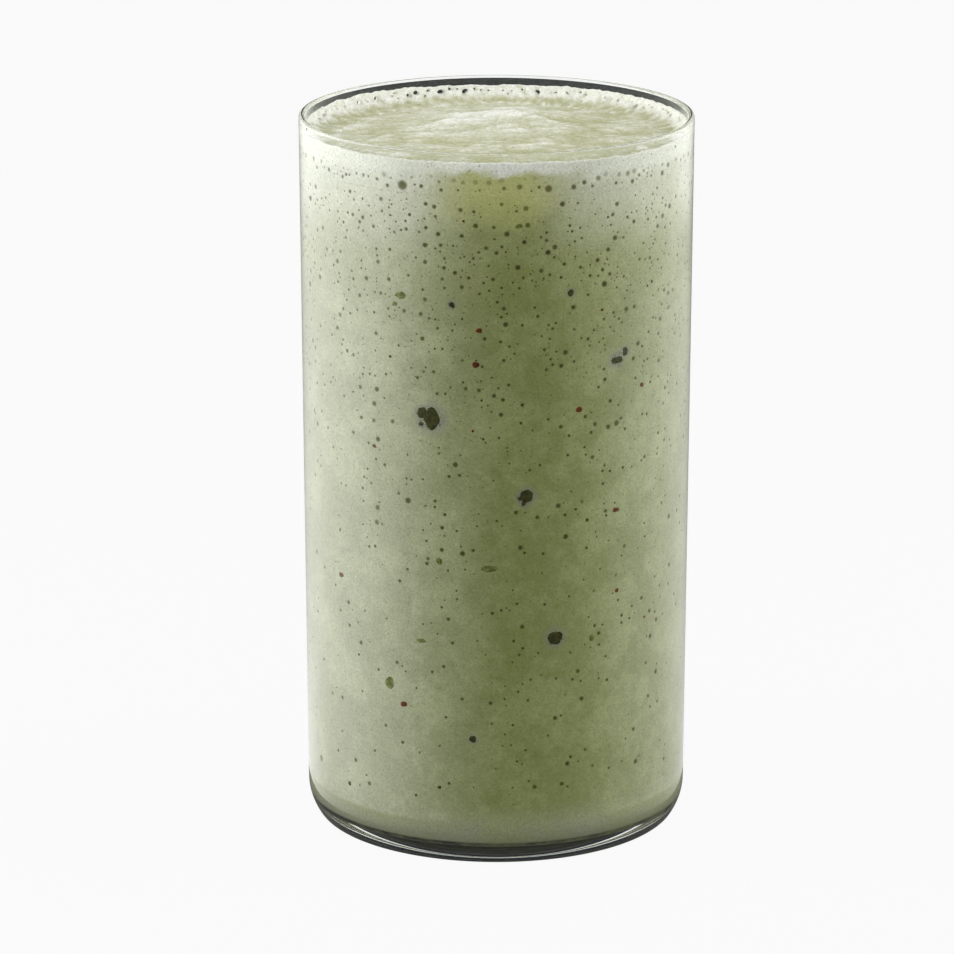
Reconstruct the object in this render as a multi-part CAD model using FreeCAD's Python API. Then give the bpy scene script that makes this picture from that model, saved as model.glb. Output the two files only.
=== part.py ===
"""A green milkshake in its clear tumbler: the glass, the shake that fills it, and the froth on top.

Millimetres, +Z up. The origin is the centre of the foot ring, on the surface that the tumbler stands on.
The tumbler is turned about Z: a rounded heel, a wall that widens and thins towards a fire-polished rim,
and a shallow push-up underneath. The shake and the froth fill the same cavity, so their sides are the
tumbler's inner wall. The froth's top is a surface worked out from named sizes: a soft mound where the
pour ended, swirl ridges round it, and a film that clings to the wall with an uneven edge.
"""

import FreeCAD
import Part
import math
import os

from FreeCAD import Vector

# --- tumbler ---------------------------------------------------------------------------------------
GLASS_HEIGHT = 147.6
RIM_DIAMETER = 80.0  # outside, at the lip
TAPER = 0.85  # how far the outside leans in from the lip down to the heel, on each side
RIM_WALL = 1.3
BASE_WALL = 1.9
FLOOR_THICKNESS = 3.3  # glass under the drink, measured at the middle of the floor
HEEL_RADIUS = 11.0  # the long curve under the wall
HEEL_TURN = 34.0  # degrees that the long curve turns through before the toe takes over
TOE_RADIUS = 2.2  # the tight curve between the heel and the foot ring
CORNER_RADIUS = 5.5  # inside corner between the wall and the floor
FOOT_WIDTH = 1.6  # flat ring that touches the table
PUSH_UP = 0.9  # rise of the underside's middle above the foot ring
FLOOR_CROWN = 0.6  # rise of the floor's middle above the floor's edge

# --- drink -----------------------------------------------------------------------------------------
FILL_BELOW_RIM = 4.9  # level of the froth's flat part under the lip
FROTH_DEPTH = 3.8  # froth layer under that level
FROTH_SAG = 0.5  # the froth's underside dips this much at the middle

# --- froth's top -----------------------------------------------------------------------------------
MOUND_HEIGHT = 3.3
MOUND_REACH = 13.0  # distance from the peak at which the mound has fallen to a third
MOUND_STRETCH = 1.35  # the mound is this much longer from left to right
MOUND_X = 3.5
MOUND_Y = 9.0
RIDGE_HEIGHT = 0.3
RIDGE_SPACING = 9.0  # between one swirl ridge and the next
RIDGE_REACH = 24.0  # the ridges fade out at about this distance from the peak
SWIRL_ARMS = 2
CLING_SHARE = 0.66  # of the bare wall above the froth's flat part, how much the clinging film covers
CLING_WAVES = ((0.42, 1, 0.0), (0.15, 3, 0.6), (0.1, 5, 2.4), (0.07, 9, 4.1))  # height, waves round, phase
CLING_THICKNESS = 0.5  # film at its edge
CLING_FOOT = 7.0  # width of the film's foot on the froth
SURFACE_STEP = 3.0  # spacing of the points that the froth's surfaces pass through

# --- sizes that follow -----------------------------------------------------------------------------
RIM_RADIUS = RIM_DIAMETER / 2
BASE_RADIUS = RIM_RADIUS - TAPER
FILL_LEVEL = GLASS_HEIGHT - FILL_BELOW_RIM
CLING_HEIGHT = CLING_SHARE * FILL_BELOW_RIM
FLOOR_TOP = PUSH_UP + FLOOR_THICKNESS
FLOOR_EDGE = FLOOR_TOP - FLOOR_CROWN
LIP_RADIUS = RIM_WALL / 2
LIP_HEIGHT = GLASS_HEIGHT - LIP_RADIUS  # where the straight wall ends and the round lip starts
HEEL_ANGLE = math.radians(HEEL_TURN)
HEEL_HEIGHT = HEEL_RADIUS * math.sin(HEEL_ANGLE) + TOE_RADIUS * (1 - math.sin(HEEL_ANGLE))


def outer_radius(z):
    """The wall's outside: a straight line from the top of the heel to the lip."""
    share = (z - HEEL_HEIGHT) / (LIP_HEIGHT - HEEL_HEIGHT)
    return BASE_RADIUS + share * (RIM_RADIUS - BASE_RADIUS)


def inner_radius(z):
    """The wall's inside: the wall thins evenly from the heel to the lip."""
    share = (z - HEEL_HEIGHT) / (LIP_HEIGHT - HEEL_HEIGHT)
    return outer_radius(z) - BASE_WALL - share * (RIM_WALL - BASE_WALL)


def at(radius, z):
    """A point of a profile, in the XZ plane."""
    return Vector(radius, 0, z)


def line(a, b):
    return Part.LineSegment(a, b).toShape()


def on_circle(centre, radius, angle):
    """A profile point on a circle, at an angle in radians above the outward direction."""
    return at(centre.x + radius * math.cos(angle), centre.z + radius * math.sin(angle))


def bend(centre, radius, start, end):
    """A profile arc about a centre, from one angle to another."""
    points = [on_circle(centre, radius, angle) for angle in (start, (start + end) / 2, end)]
    return Part.Arc(*points).toShape()


def crown(edge_radius, edge_z, middle_z):
    """A shallow spherical crown's arc, from the axis out to its edge."""
    rise = middle_z - edge_z
    radius = (edge_radius**2 + rise**2) / (2 * rise)
    return bend(at(0, middle_z - radius), radius, math.pi / 2, math.acos(edge_radius / radius))


def turned(edges):
    """A solid of revolution about Z from a closed profile in the XZ plane."""
    face = Part.Face(Part.Wire(edges))
    solid = face.revolve(Vector(0, 0, 0), Vector(0, 0, 1), 360)
    return Part.Solid(solid.Shells[0]) if solid.Volume < 0 else solid


def cavity_profile(top_z):
    """The cavity's profile: out along the floor from the axis, round the corner, up the wall to top_z."""
    lean = math.atan2(inner_radius(LIP_HEIGHT) - inner_radius(0), LIP_HEIGHT)
    centre_z = FLOOR_EDGE + CORNER_RADIUS
    centre = at(inner_radius(centre_z) - CORNER_RADIUS / math.cos(lean), centre_z)
    floor = crown(centre.x, FLOOR_EDGE, FLOOR_TOP)
    corner = bend(centre, CORNER_RADIUS, -math.pi / 2, -lean)
    wall = line(on_circle(centre, CORNER_RADIUS, -lean), at(inner_radius(top_z), top_z))
    return [floor, corner, wall]


def cavity(top_z):
    """What fills the tumbler up to top_z."""
    edge, middle = at(inner_radius(top_z), top_z), at(0, top_z)
    return turned(cavity_profile(top_z) + [line(edge, middle), line(middle, at(0, FLOOR_TOP))])


def tumbler():
    """The glass: push-up, foot ring, toe, heel, wall and round lip, and the cavity's profile inside."""
    heel_centre = at(BASE_RADIUS - HEEL_RADIUS, HEEL_HEIGHT)
    toe_centre = on_circle(heel_centre, HEEL_RADIUS - TOE_RADIUS, -HEEL_ANGLE)
    foot_inner = toe_centre.x - FOOT_WIDTH
    outer, inner = outer_radius(LIP_HEIGHT), inner_radius(LIP_HEIGHT)
    outside = [
        crown(foot_inner, 0, PUSH_UP),
        line(at(foot_inner, 0), at(toe_centre.x, 0)),
        bend(toe_centre, TOE_RADIUS, -math.pi / 2, -HEEL_ANGLE),
        bend(heel_centre, HEEL_RADIUS, -HEEL_ANGLE, 0),
        line(at(BASE_RADIUS, HEEL_HEIGHT), at(outer, LIP_HEIGHT)),
        bend(at((outer + inner) / 2, LIP_HEIGHT), (outer - inner) / 2, 0, math.pi),
    ]
    return turned(outside + cavity_profile(LIP_HEIGHT)[::-1] + [line(at(0, FLOOR_TOP), at(0, PUSH_UP))])


def below(height, floor_z):
    """Everything under the surface z = height(x, y) down past floor_z, over a square wider than the rim."""
    half = RIM_RADIUS + SURFACE_STEP
    count = 2 * math.ceil(half / SURFACE_STEP) + 1
    places = [-half + 2 * half * i / (count - 1) for i in range(count)]
    surface = Part.BSplineSurface()
    surface.interpolate([[Vector(x, y, height(x, y)) for y in places] for x in places])
    lowest = min(height(x, y) for x in places for y in places)
    return surface.toShape().extrude(Vector(0, 0, floor_z - lowest - FROTH_DEPTH))


def froth_top(x, y):
    """The froth's top away from the wall: a soft mound, and swirl ridges that wind out of its peak."""
    away_x, away_y = (x - MOUND_X) / MOUND_STRETCH, y - MOUND_Y
    away = math.hypot(away_x, away_y)
    mound = MOUND_HEIGHT / (1 + 2 * (away / MOUND_REACH) ** 2.4)
    turn = SWIRL_ARMS * math.atan2(away_y, away_x)
    fade = math.exp(-((away / RIDGE_REACH) ** 2)) * min(1.0, (away / RIDGE_SPACING) ** 2)
    ridge = RIDGE_HEIGHT * math.sin(turn + 2 * math.pi * away / RIDGE_SPACING) * fade
    return FILL_LEVEL + mound + ridge


def cling_edge(x, y):
    """The film's uneven edge: waves that run round the wall, fading towards the middle."""
    turn = math.atan2(y, x)
    fade = min(1.0, math.hypot(x, y) / RIM_RADIUS) ** 2
    waves = sum(size * math.sin(count * turn + phase) for size, count, phase in CLING_WAVES)
    return FILL_LEVEL + CLING_HEIGHT + fade * waves


def froth_underside(x, y):
    """The froth's underside: level at the wall, and a little lower at the middle."""
    return FILL_LEVEL - FROTH_DEPTH - FROTH_SAG * max(0.0, 1 - (x**2 + y**2) / RIM_RADIUS**2)


def cling_film():
    """The film that clings to the wall: a ring with a hollow inner face, cut to its uneven edge."""
    tallest = CLING_HEIGHT + sum(size for size, _, _ in CLING_WAVES)
    low, high = FILL_LEVEL - RIDGE_HEIGHT, FILL_LEVEL + tallest
    toe, wall_low = at(inner_radius(low) - CLING_FOOT, low), at(inner_radius(low), low)
    edge, wall_high = at(inner_radius(high) - CLING_THICKNESS, high), at(inner_radius(high), high)
    face = Part.BezierCurve()
    face.setPoles([edge, at(edge.x - CLING_THICKNESS, low), toe])
    ring = turned([line(toe, wall_low), line(wall_low, wall_high), line(wall_high, edge), face.toShape()])
    return ring.common(below(cling_edge, low))


def build():
    room = cavity(LIP_HEIGHT)
    under = below(froth_underside, FLOOR_EDGE)
    shake = room.common(under)
    froth = room.common(below(froth_top, FLOOR_EDGE)).cut(under).fuse(cling_film()).removeSplitter()
    return {"tumbler": tumbler(), "shake": shake, "froth": froth}


os.makedirs("parts", exist_ok=True)
for name, shape in build().items():
    solids = shape.Solids
    print(name, "solids", len(solids), "valid", shape.isValid(), "cm3", round(shape.Volume / 1000, 2))
    solids[0].exportStep(f"parts/{name}.step")
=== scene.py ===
"""A green milkshake in a clear tumbler: glass, blended drink, frothy top and the bits blended into it.

Lengths are metres and +Z is up. The tumbler stands on the floor with its foot ring's centre at the
origin, and the camera looks along +Y from a little above.
"""

import math

import bpy
import numpy as np
from bpy.props import FloatProperty, FloatVectorProperty, IntProperty, PointerProperty
from mathutils import Euler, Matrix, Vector
from mathutils.geometry import delaunay_2d_cdt


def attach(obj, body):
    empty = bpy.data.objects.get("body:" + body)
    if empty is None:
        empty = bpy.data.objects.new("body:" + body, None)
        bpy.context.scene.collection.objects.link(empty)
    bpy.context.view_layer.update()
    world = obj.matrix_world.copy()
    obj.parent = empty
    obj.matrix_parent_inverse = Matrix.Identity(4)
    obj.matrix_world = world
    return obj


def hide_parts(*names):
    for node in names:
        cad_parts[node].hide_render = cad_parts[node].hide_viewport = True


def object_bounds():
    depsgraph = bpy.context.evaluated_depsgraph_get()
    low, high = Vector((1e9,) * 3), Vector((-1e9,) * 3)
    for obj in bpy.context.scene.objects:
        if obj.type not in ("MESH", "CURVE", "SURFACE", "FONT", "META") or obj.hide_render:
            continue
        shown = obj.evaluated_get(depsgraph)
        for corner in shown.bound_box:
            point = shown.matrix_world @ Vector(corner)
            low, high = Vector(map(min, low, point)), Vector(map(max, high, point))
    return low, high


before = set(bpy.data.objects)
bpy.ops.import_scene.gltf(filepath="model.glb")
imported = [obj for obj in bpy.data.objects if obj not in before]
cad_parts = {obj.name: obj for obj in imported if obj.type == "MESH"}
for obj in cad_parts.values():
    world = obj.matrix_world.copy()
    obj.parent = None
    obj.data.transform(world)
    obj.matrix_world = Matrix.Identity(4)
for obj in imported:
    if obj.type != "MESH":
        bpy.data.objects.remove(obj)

bl_info = {
    "name": "Green Milkshake",
    "version": (1, 0, 0),
    "blender": (4, 5, 0),
    "location": "3D View > Sidebar > Milkshake",
    "description": "A blended green milkshake in a straight-sided clear tumbler",
    "category": "Add Mesh",
}

CAD_LOW, CAD_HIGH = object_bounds()
TURN = 2 * math.pi
SEED = 20
ROUND = 480  # points round the drink where its surfaces meet
GLASS_SIDES = 288
TOP_RINGS = 84  # rings of points on the froth's top, out from its middle
SCRAP_SIDES, SCRAP_WANDER = 22, 0.11  # points round a scrap, and how much its outline wanders
CRISP = 0.00003  # a corner's last loops lie this close together, so that it shades crisply
WALL_RADIUS = 0.0383  # the drink's, for patterns that are measured along the wall
FILM_RUN = 0.0065  # length of the film's inner face, from its edge to its foot
FILM_STEP, FACE_STEP = 0.0008, 0.0007  # spacing of plain points on the film's outer and inner side
EDGE_GAP = 0.0001  # the film's two faces end this far under its edge
CROWD_DEPTH = 0.05  # depth under the froth over which air bubbles thin out
BUBBLE_SIZES = (0.00014, 0.00062)  # smallest and largest radius of a small air bubble
TINY_SIZE = 0.00026  # a bubble under this radius is made with fewer points
WINDOW_SIZE = 0.00019  # radius of the smallest open window in the film
PIT_SIZES = (0.00012, 0.00034)  # smallest and largest radius of a pit in the film's inner face

# Rings of points round a spot: how far out each lies in radii, and how many points it has.
TINY = ([1.12, 0.78, 0.3], [6, 6, 3])
BUBBLE = ([1.14, 0.92, 0.6, 0.1], [8, 9, 6, 3])
BIG_BUBBLE = ([1.12, 0.97, 0.8, 0.5, 0.08], [14, 16, 12, 8, 3])
HALO = ([2.1, 1.7, 1.35, 1.0, 0.6], [18, 16, 14, 12, 8])
WINDOW = ([1.35, 1.0], [12, 12])
RIM = WINDOW[1][0]  # a window's own rim starts at this point of its rings

# Where the foam leaves the wall clear: degrees to the right of the front, half its width, how clear.
CLEARINGS = ((1, 28.5, 1.0), (166, 27.5, 0.7), (-132, 21.5, 0.5))
CLEARING_EDGE = 24  # degrees over which a clearing fades
# Painted sheen and shade: the drink is painted paler where the side soft boxes shine on it, more so to the left
# where that box is stronger, and darker in streaks at the front and back that they hardly reach. Partly it is
# milky with fine air.
MILKY_SHEEN, SHEEN_LEAN = 0.58, 0.14  # how milky fine air makes the drink, and how much more so to the left
# Streaks of painted shade with little milky sheen: degrees to the right of the front, width to its left and
# right, how clear.
SHADED_STREAKS = ((7, 50, 75, 1.0), (176, 66, 60, 0.85))
# Fine foam against the wall: how white it is, and the heights over the froth's flat part where it starts to
# show and where it is whole. It hangs down in two layers, and only a narrow band of it crosses a clearing.
HANGING_FOAM = ((0.25, -0.003, 0.001), (0.35, -0.02, -0.002))
FOAM_BAND = (0.95, 0.0002, 0.0015)
# The film's edge: how far under the film's mean height, and its long waves: height, waves round, phase.
EDGE_DROP = 0.0003
EDGE_WAVES = ((0.00018, 1, 0.0), (0.00015, 3, 0.6), (0.0001, 5, 2.4))
EDGE_BUMPS = 0.00026  # height of the small bumps along it
# Larger scraps: degrees to the right of the front, height, half its width, half its height.
SCRAPS = {
    "skin": (
        (-19.3, 0.0935, 0.0016, 0.0022), (-22.2, 0.0945, 0.0010, 0.0012), (-22.6, 0.0922, 0.0005, 0.0004),
        (9, 0.078, 0.0013, 0.0013), (7.2, 0.0775, 0.0005, 0.0004), (8.2, 0.0765, 0.0004, 0.0005),
        (18, 0.048, 0.0015, 0.0014), (38, 0.104, 0.0014, 0.0007), (41, 0.1055, 0.0006, 0.0009),
        (-7, 0.027, 0.0007, 0.0007), (22, 0.119, 0.0006, 0.0007), (-13, 0.117, 0.0005, 0.0006),
    ),
    "leaf": (
        (-34, 0.037, 0.0010, 0.0013), (-29, 0.118, 0.0011, 0.0007), (-2, 0.063, 0.0016, 0.0007),
        (30, 0.047, 0.0006, 0.0006), (-23, 0.047, 0.0011, 0.0004),
    ),
    "seed": (
        (-5, 0.112, 0.0006, 0.0005), (-6, 0.105, 0.0007, 0.0006), (-29, 0.033, 0.0007, 0.0006),
        (-54, 0.057, 0.0008, 0.0005), (39, 0.056, 0.0005, 0.0004), (38, 0.073, 0.0006, 0.0005),
        (25, 0.095, 0.0006, 0.0006),
    ),
}  # fmt: skip
# Smaller bits scattered through the drink: how many of each kind, and their middle size.
SCATTERED = {"skin": (14, 0.00035), "leaf": (34, 0.0004), "seed": (46, 0.00022)}
# Open windows in the film: degrees to the right of the front, how far under the film's edge, radius.
WINDOWS = (
    (-151, 0.0014, 0.00055), (-162, 0.0013, 0.00075), (-165, 0.0007, 0.00035), (-170, 0.0012, 0.0006),
    (-145, 0.0011, 0.00025), (-173, 0.0008, 0.00022), (-175, 0.0009, 0.00024), (-177.5, 0.0009, 0.00026),
    (178, 0.0011, 0.0002), (172, 0.0009, 0.00024), (167, 0.0012, 0.00052), (161, 0.0013, 0.00026),
    (157, 0.0012, 0.0003), (138, 0.0013, 0.00034), (64, 0.0012, 0.00045), (-80, 0.0012, 0.0005),
)  # fmt: skip
# Large air pockets: degrees to the right of the front, height, radius.
POCKETS = (
    (-28, 0.1403, 0.0011), (-15, 0.1401, 0.0008), (15, 0.1403, 0.0008), (-6, 0.1331, 0.00055),
    (3, 0.1315, 0.0006), (17, 0.1285, 0.0006), (-21, 0.1287, 0.00055), (8, 0.1298, 0.0005),
    (-17, 0.1311, 0.0005), (-10, 0.1310, 0.00045), (-21, 0.1253, 0.0005), (-8, 0.1226, 0.0004),
    (13, 0.1239, 0.0005), (0, 0.1277, 0.00045), (-3, 0.1287, 0.00045), (25, 0.1240, 0.0004),
    (33, 0.1422, 0.0006), (41, 0.1416, 0.0006), (-49, 0.1405, 0.0004), (33, 0.120, 0.0007),
    (38, 0.091, 0.0007), (-10, 0.066, 0.0006), (21, 0.069, 0.0006), (-27, 0.076, 0.0007),
    (98, 0.136, 0.0009), (150, 0.128, 0.0008), (-110, 0.130, 0.0010), (-165, 0.1405, 0.0009),
    (75, 0.1401, 0.0008), (-72, 0.115, 0.0007), (175, 0.100, 0.0006), (-140, 0.090, 0.0007),
)  # fmt: skip


# --- sizes and colours -----------------------------------------------------------------------------


def length(name, default, description):
    return FloatProperty(name=name, description=description, default=default, min=0, precision=5, unit="LENGTH")


def number(name, default, description, top=1.0):
    return FloatProperty(name=name, description=description, default=default, min=0, max=top)


def count(name, default, description):
    return IntProperty(name=name, description=description, default=default, min=0)


def colour(name, default, description):
    return FloatVectorProperty(
        name=name, description=description, default=default, size=3, min=0, max=1, subtype="COLOR"
    )


class TumblerSizes(bpy.types.PropertyGroup):
    height: length("Height", CAD_HIGH.z - CAD_LOW.z, "Foot ring to lip")
    rim_diameter: length("Rim diameter", CAD_HIGH.x - CAD_LOW.x, "Outside, at the lip")
    taper: length("Taper", 0.00085, "How far the outside leans in from the lip to the heel, on each side")
    rim_wall: length("Rim wall", 0.0013, "Thickness at the lip")
    base_wall: length("Base wall", 0.0019, "Thickness just above the heel")
    floor_thickness: length("Floor thickness", 0.0033, "Glass under the drink, at the middle")
    heel_radius: length("Heel radius", 0.011, "The long curve under the wall")
    heel_turn: FloatProperty(
        name="Heel turn", description="Angle the heel turns through", default=math.radians(34), subtype="ANGLE"
    )
    toe_radius: length("Toe radius", 0.0022, "The tight curve between heel and foot ring")
    corner_radius: length("Corner radius", 0.0055, "Inside corner between wall and floor")
    foot_width: length("Foot width", 0.0016, "Flat ring that touches the table")
    push_up: length("Push-up", 0.0009, "Rise of the underside's middle")
    floor_crown: length("Floor crown", 0.0006, "Rise of the floor's middle above its edge")


class DrinkSizes(bpy.types.PropertyGroup):
    below_rim: length("Below rim", 0.0049, "The froth's flat part under the lip")
    froth_depth: length("Froth depth", 0.0038, "Froth layer under that level")
    contact: length("Contact", 0.00012, "How far the skin reaches into the wall, so that no air shows between")
    step: length("Skin step", 0.0013, "Spacing of the skin's plain points")
    bubbles: count("Bubbles", 3300, "How crowded the small air bubbles against the wall are")
    bubble_radius: length("Bubble radius", 0.00028, "Middle size of a bubble against the wall")


class FrothSizes(bpy.types.PropertyGroup):
    mound_height: length("Mound height", 0.0033, "Peak above the froth's flat part")
    mound_reach: length("Mound reach", 0.013, "Where the mound has fallen to a third")
    mound_stretch: number("Mound stretch", 1.35, "Left-right length over front-back length", 4.0)
    mound_x: length("Mound X", 0.0035, "Peak's place to the right")
    mound_y: length("Mound Y", 0.009, "Peak's place to the back")
    ridge_height: length("Ridge height", 0.0003, "Swirl ridges round the mound")
    ridge_spacing: length("Ridge spacing", 0.009, "Between one swirl ridge and the next")
    ridge_reach: length("Ridge reach", 0.024, "Where the ridges fade out")
    film_share: number("Film share", 0.66, "How much of the bare wall above the froth the film covers")
    film_thickness: length("Film thickness", 0.0005, "At its ragged edge")
    film_foot: length("Film foot", 0.007, "Width of the film's foot on the froth")
    windows: count("Windows", 170, "Round holes where a bubble has opened the film")
    bubbles: count("Bubbles", 700, "How crowded those between froth and wall are")
    pits: count("Pits", 500, "Shallow pits in the film's inner face")


class Finish(bpy.types.PropertyGroup):
    drink: colour("Drink", (0.205, 0.232, 0.074), "Blended drink")
    milky: colour("Milky", (0.32, 0.35, 0.155), "Where fine air makes the drink paler")
    # Painted sheen: the pale colour painted where the side soft boxes shine on the drink, partly milky fine
    # air.
    haze: colour("Milky sheen", (0.53, 0.545, 0.425), "Drink milky with fine air")
    # Painted light: the drink under the froth, painted brighter as if lit from above through the froth.
    lit_under_froth: colour("Under froth", (0.49, 0.505, 0.19), "Airy drink just under the froth")
    # Painted light and shade round the bottom: the corner painted greyer, and the line and the underside
    # painted dark.
    low: colour("Low", (0.33, 0.345, 0.23), "Drink round the bottom corner")
    foot: colour("Foot", (0.08, 0.08, 0.045), "The drink's underside, seen through the heel")
    foot_shade_line: colour("Foot line", (0.02, 0.02, 0.014), "Thin dark line where the drink turns under")
    # Painted shade: the dark colour painted inside each air bubble against the wall and in the pin-pricks,
    # lighter where the drink is painted light.
    hollow: colour("Hollow", (0.045, 0.047, 0.007), "Inside an air bubble against the glass")
    shallow_hollow_shade: colour("Shallow hollow", (0.155, 0.145, 0.030), "Inside an air bubble in the airy drink")
    froth: colour("Froth", (0.87, 0.88, 0.80), "Fine foam")
    froth_shade: colour("Froth shade", (0.45, 0.46, 0.25), "Foam's dips")
    skin: colour("Skin", (0.050, 0.052, 0.009), "Dark scraps of fruit skin")
    stain: colour("Stain", (0.21, 0.215, 0.205), "Grey halo that a scrap of skin leaves")
    seed: colour("Seed", (0.13, 0.030, 0.006), "Red-brown specks")
    leaf: colour("Leaf", (0.075, 0.090, 0.012), "Green and olive bits")
    glass: colour("Glass", (0.985, 0.995, 0.99), "Clear glass")
    clear: colour("Clear", (0.97, 0.98, 0.975), "What the glass lets through of the lamps' light")
    floor: colour("Floor", (0.40, 0.40, 0.40), "Studio floor")
    card: colour("Card", (0.012, 0.016, 0.022), "Dark card that edges the glass")


class Studio(bpy.types.PropertyGroup):
    left_glow: number("Left box", 5.1, "Strength of the soft box on the left", 20.0)
    right_glow: number("Right box", 4.8, "Strength of the soft box on the right", 20.0)
    top_glow: number("Top box", 0.9, "Strength of the soft box overhead", 20.0)
    room_glow: number("Room", 0.68, "Strength of the room's even light", 20.0)
    room_shine: number("Room shine", 0.12, "How bright the room shows in glass and wet surfaces")
    backdrop: number("Backdrop", 0.96, "How bright the room looks behind the tumbler")


# --- shape helpers ---------------------------------------------------------------------------------


def rise(x, low, high):
    """0 at low, 1 at high, and 3t^2 - 2t^3 between, where t is how far x is from low to high."""
    t = np.clip((x - low) / (high - low), 0, 1)
    return t * t * (3 - 2 * t)


def bend(centre, radius, start, end, steps):
    """Points of a circle about centre = (radius, height), from one angle to another."""
    angle = np.linspace(start, end, steps)
    return np.column_stack([centre[0] + radius * np.cos(angle), centre[1] + radius * np.sin(angle)])


def crown(edge, edge_z, middle_z, steps):
    """A shallow spherical crown from its middle out to its edge: height = middle - R + sqrt(R^2 - r^2)."""
    r = np.linspace(0, edge, steps)
    radius = (edge**2 + (middle_z - edge_z) ** 2) / (2 * (middle_z - edge_z))
    return np.column_stack([r, middle_z - radius + np.sqrt(radius**2 - r**2)])


def waves(x, y, size, many, seed):
    """Soft lumps about as wide as size: the sum of many plane waves with random headings and phases, over
    the root of how many there are."""
    rng = np.random.default_rng(SEED + seed)
    heading, phase = rng.uniform(0, TURN, many), rng.uniform(0, TURN, many)
    pitch = TURN / (size * rng.uniform(0.7, 1.6, many))
    total = np.zeros(np.broadcast(x, y).shape)
    for k in range(many):
        total += np.sin(pitch[k] * (x * math.cos(heading[k]) + y * math.sin(heading[k])) + phase[k])
    return total / math.sqrt(many)


def ragged(angle, first, last, fall, rng):
    """A closed uneven line: cosines from first to last waves a turn, each lower by 1 / waves^fall."""
    turns = np.arange(first, last)[:, None]
    height = rng.normal(size=turns.shape) / turns**fall
    line = (height * np.cos(turns * angle + rng.uniform(0, TURN, turns.shape))).sum(0)
    return line / np.abs(line).max()


def strip(lower, upper):
    """Triangles between two loops of point numbers that run anticlockwise seen from above, facing outwards."""
    lower_next, upper_next = np.roll(lower, -1), np.roll(upper, -1)
    return np.vstack(
        [np.column_stack([lower, lower_next, upper_next]), np.column_stack([lower, upper_next, upper])]
    )


def fan(pole, loop, closing):
    """Triangles from a pole to a loop: from the pole outwards, or closing in on the pole."""
    ahead = np.roll(loop, -1)
    middle = np.full(loop.size, pole)
    return np.column_stack([loop, ahead, middle] if closing else [middle, ahead, loop])


def loops(first, rows, size):
    """Point numbers of so many loops of size points each."""
    return first + np.arange(rows * size).reshape(rows, size)


def chain(rows):
    """Triangles between each loop and the next."""
    return np.vstack([strip(a, b) for a, b in zip(rows[:-1], rows[1:])])


def patch(rows, columns):
    """Triangles between the points of a grid."""
    k = (np.arange(rows - 1)[:, None] * columns + np.arange(columns - 1)).ravel()
    far = k + columns + 1
    return np.vstack([np.column_stack([k, k + 1, far]), np.column_stack([k, far, far - 1])])


def turned(angle, radius, height):
    """Rings about Z, one row of points for each radius: x = r cos a, y = r sin a, z = h."""
    x, y = radius * np.cos(angle), radius * np.sin(angle)
    return np.stack([x, y, np.broadcast_to(height, x.shape)], -1).reshape(-1, 3)


def lathe(profile, sides):
    """A profile that starts and ends on the axis, turned about Z."""
    body = profile[1:-1]
    rings = turned(np.arange(sides) * TURN / sides, body[:, :1], body[:, 1:])
    rows = loops(0, len(body), sides)
    points = np.vstack([rings, [[0, 0, profile[0, 1]], [0, 0, profile[-1, 1]]]])
    bottom, top = len(points) - 2, len(points) - 1
    return points, np.vstack([fan(bottom, rows[0], False), chain(rows), fan(top, rows[-1], True)])


def piece(name, points, triangles, material, slot=None, node=None, fields=()):
    """A smooth-shaded mesh. One with a slot rides on the part, and stands for the node it names. Each point
    field becomes an attribute, and is 0 at the points after its last value."""
    mesh = bpy.data.meshes.new(name)
    mesh.vertices.add(len(points))
    mesh.vertices.foreach_set("co", points.astype(np.float32).ravel())
    mesh.loops.add(triangles.size)
    mesh.loops.foreach_set("vertex_index", triangles.astype(np.int32).ravel())
    mesh.polygons.add(len(triangles))
    mesh.polygons.foreach_set("loop_start", np.arange(0, triangles.size, 3, dtype=np.int32))
    mesh.polygons.foreach_set("use_smooth", np.ones(len(triangles), bool))
    mesh.update(calc_edges=True)
    for key, values in dict(fields).items():
        whole = np.zeros(len(points), np.float32)
        whole[: len(values)] = values
        mesh.attributes.new(key, "FLOAT", "POINT").data.foreach_set("value", whole)
    mesh.materials.append(material)
    made = bpy.data.objects.new(name, mesh)
    bpy.context.scene.collection.objects.link(made)
    if slot:
        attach(made, "root")
        if node:
            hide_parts(node)
    return made


# --- a sheet that goes once round, with finer points where a spot lies -------------------------------


def clear_of(points, spots, margin):
    """True for the points that lie outside every spot = (across, up, radius) by at least margin."""
    away = np.ones(len(points), bool)
    for part in np.array_split(spots, max(1, len(spots) // 25)):
        gap = np.hypot(points[:, None, 0] - part[None, :, 0], points[:, None, 1] - part[None, :, 1])
        away &= (gap > part[None, :, 2] + margin).all(1)
    return away


def rings_of(spots, factors, sides):
    """Ring points round each spot: centre + factor x radius x (cos, sin), as (spot, point, 2)."""
    angle = np.concatenate([np.arange(n) * TURN / n + math.pi / 12 * i for i, n in enumerate(sides)])
    reach = np.repeat(factors, sides)
    offset = np.column_stack([reach * np.cos(angle), reach * np.sin(angle)])
    return spots[:, None, :2] + spots[:, None, 2, None] * offset[None]


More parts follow.
